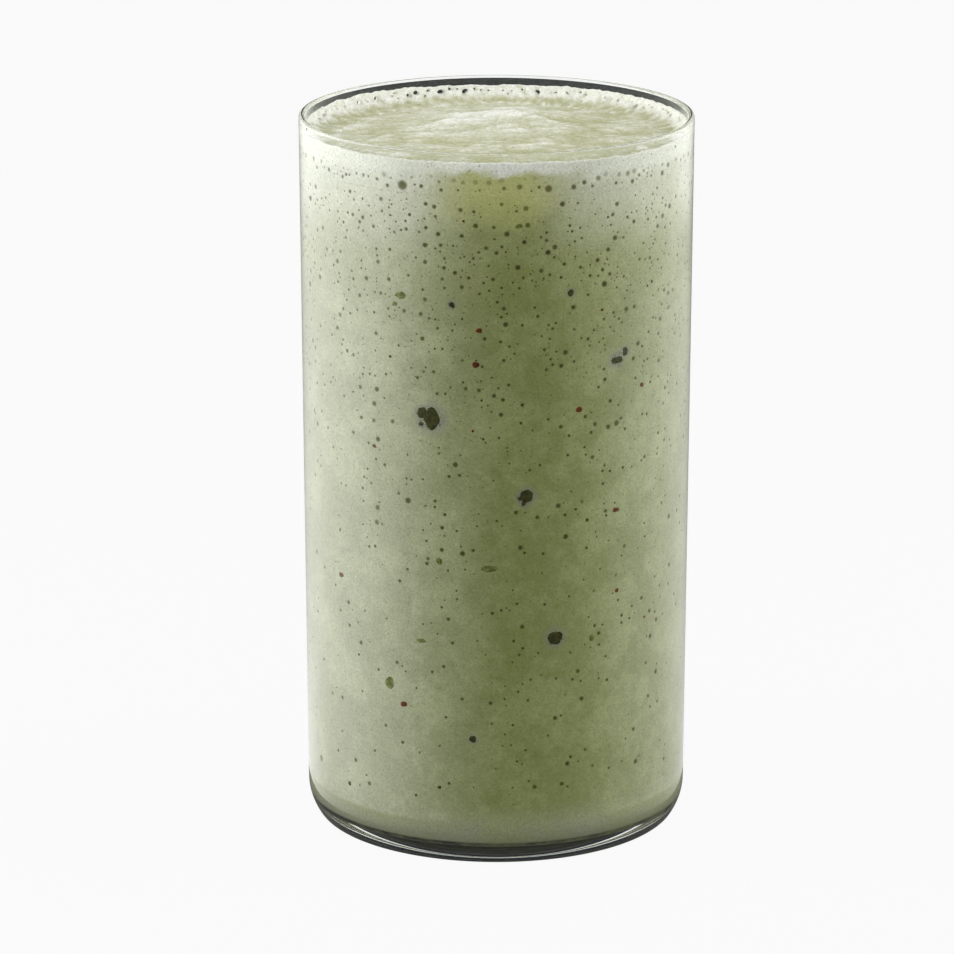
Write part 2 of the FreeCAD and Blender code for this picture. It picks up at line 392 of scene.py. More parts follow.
def sheet(width, height, step, kinds, rng):
    """A flat sheet, its left and right edges joined, in triangles (Delaunay): evenly spaced points with a
    little scatter, rings of points round each spot, and ROUND points along the bottom and the top.
    kinds is a list of (spots, ring factors, ring sides). Gives points, triangles and each kind's numbers."""
    along = np.arange(ROUND) * width / ROUND
    rises = np.linspace(0, height, max(3, round(height / step) + 1))[1:-1]
    across, up = round(width / step), max(2, round(height / step))
    u, v = np.meshgrid(np.arange(1, across) * width / across, np.arange(1, up) * height / up)
    u = u + (np.arange(1, up) % 2)[:, None] * 0.5 * step - 0.25 * step
    inner = np.column_stack([u.ravel(), v.ravel()]) + rng.uniform(-0.18, 0.18, (u.size, 2)) * step
    parts = [
        np.column_stack([along, 0 * along]),
        np.column_stack([along, 0 * along + height]),
        np.column_stack([0 * rises, rises]),
    ]
    for spots, factors, _ in kinds:
        inner = inner[clear_of(inner, spots * [1, 1, max(factors)], 0.3 * step)]
    numbers, total = [], sum(map(len, parts)) + len(inner)
    parts.append(inner)
    for spots, factors, sides in kinds:
        made = rings_of(spots, factors, sides)
        numbers.append(loops(total, *made.shape[:2]))
        total += numbers[-1].size
        parts.append(made.reshape(-1, 2))
    twins = np.concatenate([[0, ROUND], 2 * ROUND + np.arange(len(rises))])
    points = np.vstack(parts)
    everything = np.vstack([points, points[twins] + [width, 0]])
    triangles = np.array(delaunay_2d_cdt((everything * 1000).tolist(), [], [], 0, 1e-7, False)[2])
    same = np.concatenate([np.arange(len(points)), twins])
    return points, same[triangles], numbers


def apart(spots):
    """The spots without those that touch a larger one."""
    spots = spots[np.argsort(-spots[:, 2])]
    gap = np.hypot(spots[:, None, 0] - spots[None, :, 0], spots[:, None, 1] - spots[None, :, 1])
    touch = gap < 1.3 * (spots[:, None, 2] + spots[None, :, 2]) + 0.0001
    return spots[~np.tril(touch, -1).any(1)]


def scatter(width, low, high, radius, rng, weight=None):
    """Spots = (across, up, radius) that don't touch, one for each radius, fewer where the weight is low."""
    many = len(radius)
    spots = np.column_stack([rng.uniform(0.002, width - 0.002, many), rng.uniform(low, high, many), radius])
    if weight is not None:
        spots = spots[rng.uniform(0, 1, many) < weight(spots[:, 0], spots[:, 1])]
    return apart(spots)


def bubble_depth(radius, reach, strength):
    """A bubble's hollow at reach radii from its middle: depth = 0.16 radius sqrt(1 - reach)."""
    return radius * strength * 0.16 * np.clip(1 - reach, 0, 1) ** 0.5


def press(kinds, numbers, total, rng, fade=None):
    """How far bubbles press the skin in, and how much painted shade darkens each point of them."""
    inwards, hollow = np.zeros(total), np.zeros(total)
    for (spots, factors, sides), index in zip(kinds, numbers):
        reach = np.repeat(factors, sides)[None]
        strength = rng.uniform(0.85, 1.0, len(spots))[:, None]
        if fade is not None:
            strength = strength * fade(spots[:, 1])[:, None]
        inwards[index] = bubble_depth(spots[:, 2, None], reach, strength)
        hollow[index] = strength * rise(reach, 1.08, 0.66)
    return inwards, hollow


def inside_holes(triangles, rings):
    """True for triangles whose three corners all lie on the inner ring of one hole."""
    owner = np.full(int(max(triangles.max(), rings.max())) + 1, -1)
    inner = rings[:, RIM:]
    owner[inner.ravel()] = np.repeat(np.arange(len(rings)), inner.shape[1])
    of = owner[triangles]
    return (of[:, 0] >= 0) & (of[:, 0] == of[:, 1]) & (of[:, 1] == of[:, 2])


# --- the tumbler's and the drink's own surfaces ------------------------------------------------------


class Tumbler:
    """The tumbler's profile, worked out from its sizes."""

    def __init__(self, sizes):
        self.s = sizes
        turn = sizes.heel_turn
        self.base = sizes.rim_diameter / 2 - sizes.taper
        self.lip_z = sizes.height - sizes.rim_wall / 2
        self.heel_z = sizes.heel_radius * math.sin(turn) + sizes.toe_radius * (1 - math.sin(turn))
        self.floor_z = sizes.push_up + sizes.floor_thickness
        self.floor_edge_z = self.floor_z - sizes.floor_crown

    def outside(self, z):
        """Straight from the top of the heel to the lip."""
        return self.base + (z - self.heel_z) / (self.lip_z - self.heel_z) * self.s.taper

    def inside(self, z):
        """The wall thins evenly from the heel to the lip."""
        thin = (z - self.heel_z) / (self.lip_z - self.heel_z)
        return self.outside(z) - self.s.base_wall - thin * (self.s.rim_wall - self.s.base_wall)

    def cavity(self, spread=0.0):
        """Floor and corner, out from the axis to where the wall starts, moved out into the glass by spread."""
        lean = math.atan2(self.inside(self.lip_z) - self.inside(0), self.lip_z)
        corner = self.s.corner_radius
        centre_z = self.floor_edge_z + corner
        centre_r = self.inside(centre_z) - corner / math.cos(lean)
        floor = crown(centre_r, self.floor_edge_z - spread, self.floor_z - spread, 14)
        bow = bend((centre_r, centre_z), corner + spread, -math.pi / 2, -lean, 14)
        return np.vstack([floor, bow[1:]])

    def profile(self):
        """Underside, foot ring, toe, heel, wall and round lip, then down the inside and in along the floor."""
        s, turn = self.s, self.s.heel_turn
        heel = (self.base - s.heel_radius, self.heel_z)
        toe = (heel[0] + (s.heel_radius - s.toe_radius) * math.cos(turn), s.toe_radius)
        outer, inner = self.outside(self.lip_z), self.inside(self.lip_z)
        up = np.linspace(self.heel_z, self.lip_z, 40)[1:-1]
        down = np.linspace(self.lip_z, self.cavity()[-1, 1], 40)[1:-1]
        return np.vstack(
            [
                crown(toe[0] - s.foot_width, 0, s.push_up, 16),
                bend(toe, s.toe_radius, -math.pi / 2, -turn, 10),
                bend(heel, s.heel_radius, -turn, 0, 16)[1:],
                np.column_stack([self.outside(up), up]),
                bend(((outer + inner) / 2, self.lip_z), (outer - inner) / 2, 0, math.pi, 17),
                np.column_stack([self.inside(down), down]),
                self.cavity()[::-1],
            ]
        )


class Drink:
    """Where the drink's surfaces lie inside a tumbler, and how milky and foamy they are."""

    def __init__(self, scene):
        self.glass = Tumbler(scene.milkshake_tumbler)
        self.d, self.f = scene.milkshake_drink, scene.milkshake_froth
        self.level = self.glass.s.height - self.d.below_rim
        self.split = self.level - self.d.froth_depth
        self.start = self.glass.cavity(self.d.contact)[-1, 1]
        self.radius = float(self.glass.inside(self.glass.s.height / 2))
        self.width = TURN * self.radius
        self.turns = np.arange(ROUND + 1) * self.width / ROUND
        self.round = self.angle(self.turns[:-1])

    def skin(self, z):
        """The drink's side: just inside the wall's glass."""
        return self.glass.inside(z) + self.d.contact

    def angle(self, across):
        """The sheet's left and right edges meet at the back, and its middle is at the front."""
        return math.pi / 2 + across / self.radius

    def across(self, degrees):
        """Distance along the sheet of a place so many degrees to the right of the front."""
        return (math.radians(degrees) + math.pi) * self.radius

    def aside(self, across, middle=0):
        """How many degrees a place along the sheet lies to the right of the middle one."""
        return (np.degrees(across / self.radius) - middle) % 360 - 180

    def spots(self, rows, lowest=-math.inf, highest=math.inf):
        """Sheet spots of a table's rows (degrees, height, radius) between two heights."""
        return np.array([(self.across(a), z, r) for a, z, r in rows if lowest <= z < highest])

    def on_wall(self, points, inwards=0.0):
        """Sheet points (across, height) bent round the wall, moved towards the axis by inwards."""
        a, r = self.angle(points[:, 0]), self.skin(points[:, 1]) - inwards
        return np.column_stack([r * np.cos(a), r * np.sin(a), points[:, 1]])

    def clearing(self, across):
        """How clear of fine foam the wall is: each clearing fades over CLEARING_EDGE towards its sides."""
        clear = np.zeros(np.shape(across))
        for middle, half, most in CLEARINGS:
            aside = np.abs(self.aside(across, middle))
            clear = np.maximum(clear, most * rise(aside, half, half - CLEARING_EDGE))
        return clear

    def haze(self, across):
        """How pale the skin is painted, partly milky fine air and partly painted sheen where the side lights
        shine: more to the left than to the right, and little in each shaded streak, from whose middle it rises
        smoothly over the streak's left or right width."""
        haze = MILKY_SHEEN - SHEEN_LEAN * np.sin(np.radians(self.aside(across)))
        for middle, left, right, clear in SHADED_STREAKS:
            aside = self.aside(across, middle)
            haze = haze * (1 - clear * rise(np.abs(aside), np.where(aside < 0, left, right), 0))
        return haze

    def foam(self, across, z):
        """How white fine foam makes the skin. A clearing has only a narrow band at the film; elsewhere the foam
        hangs down with an uneven edge, and a thin haze of it reaches lower."""
        above = z - self.level + 0.0006 * waves(across, z, 0.005, 16, seed=8)
        hanging = sum(white * rise(above, low, high) for white, low, high in HANGING_FOAM)
        white, low, high = FOAM_BAND
        return hanging + self.clearing(across) * (white * rise(above, low, high) - hanging)

    def top(self, x, y):
        """The froth's top and how white it is: a soft mound, swirl ridges that wind out of its peak, and
        wrinkles drawn out from left to right. The whiteness is painted light and shade that follow the height:
        the wrinkles' crests whiter than their dips, and the mound whiter on its crest and its left and darker
        to its right, as the light from the left falls."""
        f = self.f
        away_x, away_y = (x - f.mound_x) / f.mound_stretch, y - f.mound_y
        away = np.hypot(away_x, away_y)
        mound = f.mound_height / (1 + 2 * (away / f.mound_reach) ** 2.4)
        turn = 2 * np.arctan2(away_y, away_x)
        fade = np.exp(-((away / f.ridge_reach) ** 2)) * np.minimum(1, (away / f.ridge_spacing) ** 2)
        ridge = f.ridge_height * np.sin(turn + TURN * away / f.ridge_spacing) * fade
        soft = waves(0.45 * x, y, 0.0060, 16, seed=21)
        wrinkle = 1.4 * np.abs(waves(0.45 * x, y, 0.0034, 26, seed=22)) - 0.8
        grain, fine = waves(0.7 * x, y, 0.0011, 30, seed=23), waves(x, y, 0.0007, 30, seed=24)
        height = self.level + mound + ridge
        height = height + 0.00024 * soft + 0.00014 * wrinkle + 0.00004 * grain + 0.00002 * fine
        crest = mound / f.mound_height
        shaded_right = away_x / f.mound_reach * crest**2
        # Painted light and shade: the mound's crest and left side whiter, its right side darker.
        white = 0.22 + 0.16 * soft + 0.22 * wrinkle + 0.10 * grain + 0.05 * fine + 0.42 * crest - shaded_right
        return height, white

    def bubbles(self, low, high, wanted, pockets, keep_off, rng):
        """Air bubbles against the wall, crowded near the froth and in loose clusters, and the large pockets.
        Returns tiny, middling and large ones."""

        def weight(across, up):
            depth = np.clip(self.level - up, 0, 1) / CROWD_DEPTH
            cluster = np.clip(0.75 + 0.75 * waves(across, up, 0.013, 12, seed=5), 0.25, 1)
            deep = 0.16 * (1 - 1.1 * np.clip(self.haze(across), 0, 0.8))
            return np.clip(deep + np.exp(-(depth**1.6)), 0, 1) * cluster

        size = np.clip(self.d.bubble_radius * np.exp(rng.normal(0, 0.38, 3 * wanted)), *BUBBLE_SIZES)
        spots = scatter(self.width, low + 0.0003, high - 0.0003, size, rng, weight)
        spots = spots[clear_of(spots, keep_off, 0.0003) & clear_of(spots, pockets * [1, 1, 1.3], 0.0004)]
        tiny = spots[:, 2] < TINY_SIZE
        return (spots[tiny], *TINY), (spots[~tiny], *BUBBLE), (pockets, *BIG_BUBBLE)


class FrothShape:
    """The froth's surfaces against the wall: the film's ragged edge and its inner face."""

    def __init__(self, drink):
        self.drink = drink
        self.mean = drink.level + drink.f.film_share * drink.d.below_rim
        self.foot = drink.skin(self.mean) - drink.f.film_foot
        # The film leans up towards the back, and its edge is bumpy down to a fraction of a millimetre.
        lean = -EDGE_DROP
        for height, times, phase in EDGE_WAVES:
            lean = lean + height * np.sin(times * drink.round + phase)
        bumps = ragged(drink.round, 20, 220, 0.6, np.random.default_rng(SEED + 1))
        self.edge = self.mean + lean + EDGE_BUMPS * bumps

    def edge_at(self, across):
        """Height of the ragged edge at a place along the sheet."""
        return np.interp(across, self.drink.turns, np.append(self.edge, self.edge[0]))

    def inner_face(self, across, along):
        """The film's inner face: a curve with three poles from the edge, down beside the wall, out to the foot,
        with small lumps that run down it. Returns the points and how white the foam is there."""
        drink, thickness = self.drink, self.drink.f.film_thickness
        t = np.clip(along / FILM_RUN, 0, 1)
        a, wall = drink.angle(across), drink.skin(self.mean)
        near, beside = wall - thickness, wall - 2 * thickness
        radius = (1 - t) ** 2 * near + 2 * t * (1 - t) * beside + t**2 * self.foot
        lumps = waves(across, along * 0.62, 0.0021, 24, seed=3) + 0.6 * waves(across, along, 0.0009, 24, seed=4)
        proud = 0.00017 * lumps * np.sin(math.pi * np.clip(t * 1.1, 0, 1)) ** 0.7
        top, _ = drink.top(radius * np.cos(a), radius * np.sin(a))
        height = (self.edge_at(across) - EDGE_GAP) * (1 - t) ** 2 + top * (1 - (1 - t) ** 2)
        radius = radius - proud
        # Painted shade: the face is painted darker in the trough along its middle.
        white = 1 - 0.85 * rise(t, 0.25, 0.7) + 0.2 * rise(t, 0.8, 1) * (1 + lumps) + 0.22 * lumps
        return np.column_stack([radius * np.cos(a), radius * np.sin(a), height + 0.6 * proud]), white

    def along_at(self, holes):
        """How far down the inner face each hole's height lies."""
        steps = np.linspace(0, FILM_RUN, 60)
        found = []
        for across, height, _ in holes:
            face, _ = self.inner_face(np.full(60, across), steps)
            found.append(np.interp(-height, np.maximum.accumulate(-face[:, 2]), steps))
        return np.array(found)

    def holes(self, rng):
        """Round holes where a bubble has opened the film, a few large and many small, close under its edge."""
        drink = self.drink
        radius = WINDOW_SIZE * np.exp(rng.exponential(0.5, drink.f.windows)).clip(1, 3.4)
        holes = scatter(drink.width, drink.level + 0.0012, self.mean - 0.0004, radius, rng)
        # Fewer of the large ones are open where the film faces the light.
        front = np.abs(holes[:, 0] / drink.width - 0.5) < 0.26
        holes = holes[(holes[:, 2] < 0.00022) | ~front]
        named = drink.spots(WINDOWS)
        named[:, 0] %= drink.width
        edge, named_edge = (
            np.minimum(self.edge_at(spots[:, 0]), self.mean - EDGE_GAP) for spots in (holes, named)
        )
        highest = edge - 0.00025 - 1.4 * holes[:, 2]
        holes[:, 1] = np.minimum(np.maximum(holes[:, 1], highest - 0.0011), highest)
        named[:, 1] = named_edge - np.maximum(named[:, 1], 0.00025 + 1.4 * named[:, 2])
        holes = holes[clear_of(holes, named * [1, 1, 1.8], 0.0004)]
        return apart(np.vstack([named, holes]))

    def outer_skin(self, holes, rng):
        """The skin against the wall: a sheet whose top row is drawn up or down to the ragged edge."""
        drink = self.drink
        low, high = drink.split + CRISP, self.mean - EDGE_GAP
        lift, tall = [0, low, 0], high - low
        pockets = drink.spots(POCKETS, low + 0.0012)
        kinds = drink.bubbles(
            low + 0.0006, drink.level + 0.0002, drink.f.bubbles, pockets, holes * [1, 1, 1.4], rng
        )
        kinds = [(spots - lift, *rings) for spots, *rings in kinds]
        flat, faces, numbers = sheet(drink.width, tall, FILM_STEP, [*kinds, (holes - lift, *WINDOW)], rng)
        level = drink.level - low
        inwards, hollow = press(
            kinds, numbers, len(flat), rng, lambda up: 0.3 + 0.7 * rise(up, level, level - 0.002)
        )
        draw = rise(flat[:, 1], tall - 0.0012, tall)
        flat[:, 1] += low + draw * (self.edge_at(flat[:, 0]) - self.mean)
        return drink.on_wall(flat, inwards), faces[~inside_holes(faces, numbers[3])], numbers[3], hollow, flat

    def inner_skin(self, holes, rng):
        """The film's inner face as a sheet of (across, along), with the same holes and some shallow pits."""
        width, pits = self.drink.width, self.drink.f.pits
        along = np.maximum(self.along_at(holes), 1.6 * holes[:, 2] + 0.0002)
        spots = np.column_stack([holes[:, 0], along, 1.15 * holes[:, 2]])
        pits = scatter(width, 0.0012, FILM_RUN - 0.001, rng.uniform(*PIT_SIZES, pits), rng)
        pits = pits[clear_of(pits, spots * [1, 1, 1.4], 0.0003)]
        flat, faces, numbers = sheet(width, FILM_RUN, FACE_STEP, [(spots, *WINDOW), (pits, *BUBBLE)], rng)
        inner, white = self.inner_face(flat[:, 0], flat[:, 1])
        inner[numbers[1], 2] -= bubble_depth(pits[:, 2, None], np.repeat(*BUBBLE)[None], 0.7)
        return inner, faces[~inside_holes(faces, numbers[0])], numbers[0], white


# --- materials -------------------------------------------------------------------------------------


class Nodes:
    """Short hands for building one node tree from empty."""

    def __init__(self, tree):
        self.tree = tree
        tree.nodes.clear()

    def put(self, socket, value):
        """Links a socket to another node's output, or gives it a plain number or colour."""
        if isinstance(value, bpy.types.NodeSocket):
            self.tree.links.new(value, socket)
        else:
            socket.default_value = (*value, 1.0) if socket.type == "RGBA" else value

    def add(self, kind, inputs=(), **settings):
        """A node with its settings, and its inputs by name or number."""
        node = self.tree.nodes.new(f"ShaderNode{kind}")
        for key, value in settings.items():
            setattr(node, key, value)
        for key, value in dict(inputs).items():
            self.put(node.inputs[key], value)
        return node

    def math(self, operation, a, b, clamp=False):
        return self.add("Math", {0: a, 1: b}, operation=operation, use_clamp=clamp).outputs[0]

    def times(self, a, b, clamp=False):
        return self.math("MULTIPLY", a, b, clamp)

    def plus(self, a, b):
        return self.math("ADD", a, b)

    def minus(self, a, b):
        return self.math("SUBTRACT", a, b)

    def larger(self, a, b):
        return self.math("MAXIMUM", a, b)

    def mix(self, factor, a, b, blend="MIX"):
        return self.add("Mix", {0: factor, 6: a, 7: b}, data_type="RGBA", blend_type=blend).outputs[2]

    def noise(self, place, size, detail=2.0, rough=0.5):
        """Noise with features about as wide as size, in metres."""
        inputs = {"Vector": place, "Scale": 1 / size, "Detail": detail, "Roughness": rough}
        return self.add("TexNoise", inputs).outputs["Fac"]

    def ramp(self, value, low, high, kind="SMOOTHSTEP"):
        """0 at low and 1 at high."""
        inputs = {"Value": value, "From Min": low, "From Max": high}
        return self.add("MapRange", inputs, interpolation_type=kind).outputs["Result"]

    def dots(self, place, size, radius, chosen):
        """Round dots on a surface: one in each cell of about size, of about radius, in a share of the cells."""
        cell = self.add("TexVoronoi", {"Vector": place, "Scale": 1 / size}, voronoi_dimensions="2D").outputs
        pick = self.add("SeparateColor", {0: cell["Color"]}).outputs
        reach = self.times(self.plus(pick[1], 0.5), radius / size)
        dot = self.ramp(cell["Distance"], reach, self.times(reach, 0.45))
        return self.times(dot, self.ramp(pick[0], chosen, chosen * 0.8))

    def field(self, name):
        """A point field of the piece."""
        return self.add("Attribute", attribute_name=name).outputs["Fac"]

    def place(self):
        """Where a point lies on the piece, and its X, Y and Z apart."""
        place = self.add("TexCoord").outputs["Object"]
        return place, self.add("SeparateXYZ", {0: place}).outputs

    def bump(self, height, depth):
        """A normal that follows a height, where 1 stands depth metres proud."""
        return self.add("Bump", {"Distance": depth, "Height": height}).outputs[0]

    def surface(self, node):
        self.add("OutputMaterial", {"Surface": node.outputs[0]})


def material(name):
    made = bpy.data.materials.new(name)
    made.use_nodes = True
    return made, Nodes(made.node_tree)


def blended(name="Blended drink"):
    """Colour and height of blended drink and its foam: clouds, fine grain, pin-prick bubbles, and hollows, with
    painted shade in the pin-pricks and hollows.
    """
    if name in bpy.data.node_groups:
        return bpy.data.node_groups[name]
    tree = bpy.data.node_groups.new(name, "ShaderNodeTree")
    for label, kind, default in (
        ("Colour", "Color", (0.3, 0.3, 0.2, 1)),
        ("Pale", "Color", (0.5, 0.5, 0.4, 1)),
        ("Hollow Shade Colour", "Color", (0.08, 0.08, 0.03, 1)),
        ("Cloud", "Float", 0.35),
        ("Pin-pricks", "Float", 0.6),
        ("Hollow", "Float", 0.0),
    ):
        socket = tree.interface.new_socket(label, in_out="INPUT", socket_type=f"NodeSocket{kind}")
        socket.default_value = default
    for label, kind in (("Colour", "Color"), ("Height", "Float")):
        tree.interface.new_socket(label, in_out="OUTPUT", socket_type=f"NodeSocket{kind}")
    n = Nodes(tree)
    given = tree.nodes.new("NodeGroupInput").outputs
    out = tree.nodes.new("NodeGroupOutput").inputs
    place, (x, y, z) = n.place()
    turn = n.math("ARCTAN2", x, n.times(y, -1.0))
    on_wall = n.add("CombineXYZ", {0: n.times(turn, WALL_RADIUS), 1: z}).outputs[0]
    mottle, grain = n.noise(place, 0.0022, 3.0, 0.6), n.noise(place, 0.00042, 2.0, 0.6)
    clouds = n.ramp(n.noise(place, 0.011, 4.0, 0.62), 0.38, 0.66)
    clouds = n.plus(clouds, n.times(n.minus(mottle, 0.5), 1.9))
    body = n.mix(n.times(clouds, given["Cloud"], clamp=True), given["Colour"], given["Pale"])
    body = n.mix(1.0, body, n.plus(n.times(n.minus(grain, 0.5), 0.75), 1.0), "MULTIPLY")
    # Pin-pricks are tiny bubbles painted dark, painted shade over a small dent in the height. They crowd
    # towards the froth, and there are none on the drink's underside.
    small, smaller = n.dots(on_wall, 0.0017, 0.00015, 0.62), n.dots(on_wall, 0.0010, 0.00010, 0.45)
    pricks = n.times(n.plus(small, n.times(smaller, 0.7)), given["Pin-pricks"])
    crowd = n.plus(n.times(n.ramp(z, 0.02, 0.13, "LINEAR"), 0.65), 0.35)
    pricks = n.times(n.times(pricks, crowd, clamp=True), n.ramp(z, 0.0045, 0.0075))
    for dark in (pricks, given["Hollow"]):
        body = n.mix(dark, body, given["Hollow Shade Colour"])
    n.put(out["Colour"], body)
    n.put(out["Height"], n.minus(n.plus(n.times(grain, 0.5), mottle), n.times(pricks, 0.6)))
    return tree


def drink_material(scene, name, froth):
    """Blended drink: painted paler at its sides where the soft boxes shine, airy and painted brighter and
    yellower near the froth as if lit through it, painted greyer round the bottom with a painted dark line and
    underside, and painted darker in each air bubble.
    """
    c, drink = scene.milkshake_finish, Drink(scene)
    level, edge = drink.level, drink.glass.floor_edge_z
    made, n = material(name)
    place, (_, _, z) = n.place()
    foam, haze = n.field("foam"), n.field("haze")
    # Painted light: airy drink under the froth is painted brighter and yellower, as if lit from above through
    # the froth. It hangs down to 13 mm under the froth's flat part, and a little of its yellow reaches 34 mm.
    cloud = n.times(n.minus(n.noise(place, 0.006, 3.0), 0.5), 0.012)
    airy = n.times(n.ramp(n.plus(z, cloud), level - 0.013, level - 0.0015), n.field("clearing"))
    warm = n.times(n.ramp(z, level - 0.034, level - 0.012), 0.12)
    body = n.mix(haze, n.mix(warm, c.drink, c.lit_under_froth), c.haze * 0.86)
    body = n.mix(airy, body, c.lit_under_froth)
    # The bottom corner, painted greyer for how the light falls there. The dark line where the drink turns under
    # is a painted shadow line, and its underside is painted dark for the shade seen through the heel.
    for high, low, tone in ((0.010, 0.002, c.low), (0.0012, 0.0007, c.foot_shade_line), (0.0003, 0.0, c.foot)):
        body = n.mix(n.ramp(z, edge + high, edge + low), body, tone)
    pale = n.mix(airy, n.mix(haze, c.milky, c.haze * 1.16), c.lit_under_froth)
    body, pale = n.mix(foam, body, c.froth), n.mix(foam, pale, c.froth)
    shallow = n.larger(n.larger(airy, foam), n.times(haze, 0.7))
    given = {"Hollow": n.field("hollow"), "Hollow Shade Colour": n.mix(shallow, c.hollow, c.shallow_hollow_shade)}
    if froth:
        wall, top = n.field("wall"), n.mix(foam, c.froth_shade, c.froth)
        given |= {"Colour": n.mix(wall, top, body), "Pale": n.mix(wall, top, pale)}
        given |= {"Cloud": 0.35, "Pin-pricks": n.times(wall, 0.5)}
    else:
        given |= {"Colour": body, "Pale": pale, "Cloud": 0.5, "Pin-pricks": 0.8}
    used = n.add("Group", given, node_tree=blended()).outputs
    shown = used["Colour"]
    if not froth:
        # The halo round a scrap of skin is uneven, and crumbs of the skin lie in it close to the scrap.
        stain = n.field("stain")
        uneven = n.ramp(n.noise(place, 0.0011, 3.0, 0.7), 0.35, 0.62)
        crumbs = n.ramp(n.noise(place, 0.00035, 2.0, 0.6), 0.54, 0.62)
        shown = n.mix(n.times(stain, n.plus(n.times(uneven, 0.55), 0.30)), shown, c.stain)
        shown = n.mix(n.times(crumbs, n.ramp(stain, 0.45, 0.95)), shown, c.skin)
    sockets = {"Base Color": shown, "Roughness": 0.55, "Sheen Weight": 0.08, "Sheen Roughness": 0.4}
    # The froth's top lies in air. The drink lies against glass that is hardly denser, so it hardly shines.
    density, grain = (1.35, 0.00010) if froth else (1.1, 0.00004)
    sockets |= {"IOR": density, "Normal": n.bump(used["Height"], grain)}
    n.surface(n.add("BsdfPrincipled", sockets))
    return made


def glass_material(scene):
    """Clear glass. Light from the lamps, and light off the drink, goes straight through it."""
    c = scene.milkshake_finish
    made, n = material("clear_glass")
    sockets = {"Base Color": c.glass, "Roughness": 0.0, "IOR": 1.5, "Transmission Weight": 1.0}
    shown, clear = n.add("BsdfPrincipled", sockets), n.add("BsdfTransparent", {"Color": c.clear})
    path = n.add("LightPath").outputs
    for ray in ("Is Shadow Ray", "Is Diffuse Ray"):
        shown = n.add("MixShader", {0: path[ray], 1: shown.outputs[0], 2: clear.outputs[0]})
    n.surface(shown)
    return made


def bit_material(name, base, other, roughness, depth):
    """A blended-in bit: its own colour, mottled towards another, with a finely wrinkled skin."""
    made, n = material(name)
    place, _ = n.place()
    fleck = n.ramp(n.noise(place, 0.0009, 3.0, 0.65), 0.35, 0.7)
    sockets = {"Base Color": n.mix(fleck, base, other), "Roughness": roughness, "IOR": 1.1}
    sockets["Normal"] = n.bump(n.noise(place, 0.0004, 2.0), depth)
    n.surface(n.add("BsdfPrincipled", sockets))
    return made


# --- operators -------------------------------------------------------------------------------------


class MILKSHAKE_OT_tumbler(bpy.types.Operator):
    """Add the clear tumbler: its profile turned about Z"""

    bl_idname = "milkshake.add_tumbler"
    bl_label = "Add Tumbler"

    def execute(self, context):
        points, triangles = lathe(Tumbler(context.scene.milkshake_tumbler).profile(), GLASS_SIDES)
        piece("tumbler_glass", points, triangles, glass_material(context.scene), "clear_glass", "tumbler")
        return {"FINISHED"}


class MILKSHAKE_OT_shake(bpy.types.Operator):
    """Add the blended drink: its skin against the wall with a hollow at each air bubble"""

    bl_idname = "milkshake.add_shake"
    bl_label = "Add Shake"

    def execute(self, context):
        drink = Drink(context.scene)
        wall, triangles, fields = self.skin(drink, np.random.default_rng(SEED))
        points, faces = self.closed(drink, wall, triangles)
        made = drink_material(context.scene, "green_shake", False)
        piece("shake_body", points, faces, made, "green_shake", "shake", fields)
        return {"FINISHED"}

    def skin(self, drink, rng):
        """The skin against the wall: a sheet bent round it, with a hollow at each bubble, and a halo round each
        scrap of skin that fades from 0.6 to 2.1 of its size."""
        low, high = drink.start, drink.split
        halos = drink.spots([(a, z, max(w, h, 0.0007)) for a, z, w, h in SCRAPS["skin"]])
        pockets = drink.spots(POCKETS, highest=high - 0.0015)
        kinds = drink.bubbles(
            low + 0.0015, high - 0.0009, drink.d.bubbles, pockets, halos * [1, 1, HALO[0][0]], rng
        )
        lift = [0, low, 0]
        kinds = [(spots - lift, *rings) for spots, *rings in kinds]
        tall = high - CRISP - low
        flat, triangles, numbers = sheet(drink.width, tall, drink.d.step, [*kinds, (halos - lift, *HALO)], rng)
        inwards, hollow = press(kinds, numbers, len(flat), rng)
        flat[:, 1] += low
        stain = np.zeros(len(flat))
        for u, v, size in halos:
            stain = np.maximum(stain, rise(np.hypot(flat[:, 0] - u, flat[:, 1] - v) / size, 2.1, 0.6))
        fields = {
            "hollow": hollow,
            "stain": stain,
            "foam": drink.foam(*flat.T),
            "clearing": drink.clearing(flat[:, 0]),
            "haze": drink.haze(flat[:, 0]),
        }
        return drink.on_wall(flat, inwards), triangles, fields

    def closed(self, drink, wall, triangles):
        """The skin closed by the cavity's floor and corner below, and by a flat face above."""
        edge, high = drink.skin(drink.split), drink.split
        bottom = drink.glass.cavity(drink.d.contact)[:-1]
        rings = np.vstack([bottom[1:], [[edge, high], [edge - CRISP, high]]])
        points = np.vstack(
            [wall, turned(drink.round, rings[:, :1], rings[:, 1:]), [[0, 0, bottom[0, 1]], [0, 0, high]]]
        )
        rows = loops(len(wall), len(rings), ROUND)
        below, above = [*rows[:-2], np.arange(ROUND)], [np.arange(ROUND, 2 * ROUND), *rows[-2:]]
        faces = [triangles, chain(below), chain(above)]
        faces += [fan(len(points) - 2, below[0], False), fan(len(points) - 1, above[-1], True)]
        return points, np.vstack(faces)


